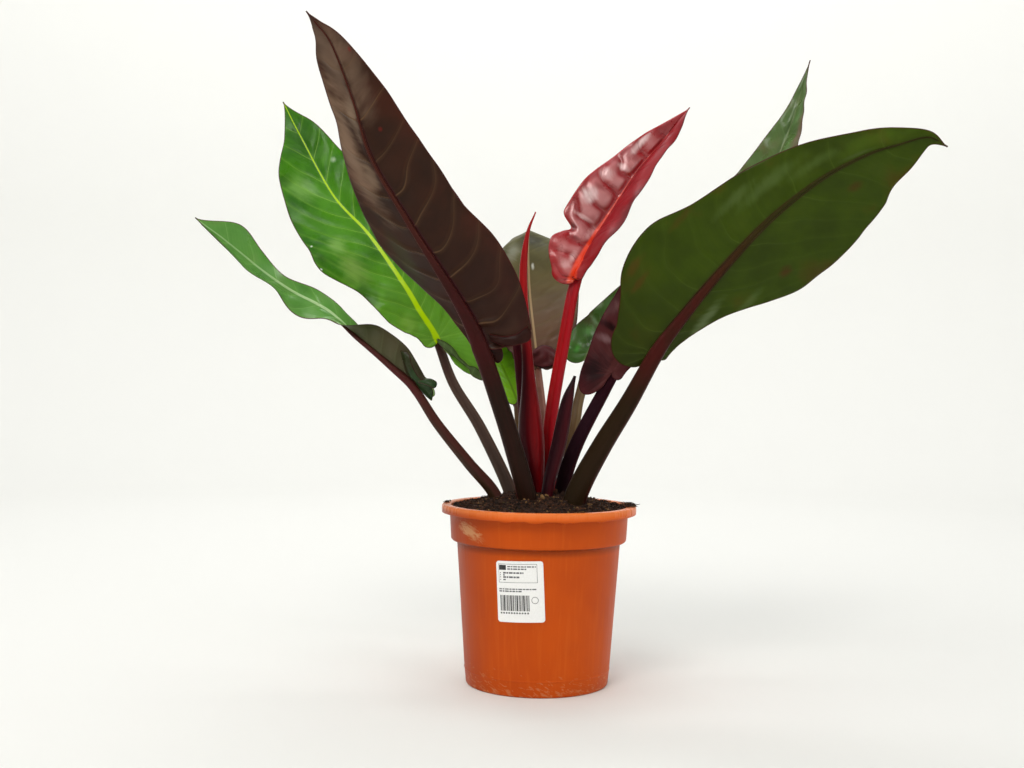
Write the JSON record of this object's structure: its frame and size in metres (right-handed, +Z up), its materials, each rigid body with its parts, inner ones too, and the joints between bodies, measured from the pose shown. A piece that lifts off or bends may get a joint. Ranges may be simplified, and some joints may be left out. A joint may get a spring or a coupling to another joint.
{
  "type": "potted philodendron",
  "caption": "Potted philodendron with long glossy green, bronze and red leaves on grooved stalks, in dark soil in a round terracotta-coloured plastic nursery pot with a rolled rim and a label.",
  "frame": {"origin": "centre of the flat underside of the pot, on the surface that it stands on", "axes": "+Z up along the pot's axis, -Y towards the front that carries the label, +X to the right seen from the front"},
  "size_m": [0.7577, 0.5177, 0.7102],
  "materials": {
    "pot_plastic": "satin",
    "label_paper": "satin",
    "soil": "matte",
    "stem": "matte",
    "red_sheath": "gloss",
    "dark_sheath": "satin",
    "green_leaf": "gloss",
    "dark_green_leaf": "satin",
    "bronze_leaf": "satin",
    "purple_leaf": "satin",
    "grey_leaf": "satin",
    "red_leaf": "gloss",
    "dark_stalk": "satin",
    "red_stalk": "gloss",
    "tan_stalk": "satin"
  },
  "bodies": {
    "root": {"pot": "pot_plastic", "label": "label_paper", "soil": "soil", "stem": "stem", "new_sheath": "red_sheath", "old_sheath": "dark_sheath", "blade_far_left": "green_leaf", "blade_back_left": "green_leaf", "blade_low_back": "green_leaf", "blade_hidden_left": "green_leaf", "blade_back_right": "green_leaf", "blade_front_right": "dark_green_leaf", "blade_front_left": "bronze_leaf", "blade_inner_right": "purple_leaf", "blade_back_centre": "grey_leaf", "blade_new_red": "red_leaf", "stalk_far_left": "dark_stalk", "stalk_back_left": "dark_stalk", "stalk_front_left": "dark_stalk", "stalk_inner_right": "dark_stalk", "stalk_front_right": "dark_stalk", "stalk_hidden_left": "red_stalk", "stalk_new_red": "red_stalk", "stalk_back_centre": "tan_stalk", "stalk_low_back": "tan_stalk", "stalk_back_right": "tan_stalk"}
  },
  "joints": []
}
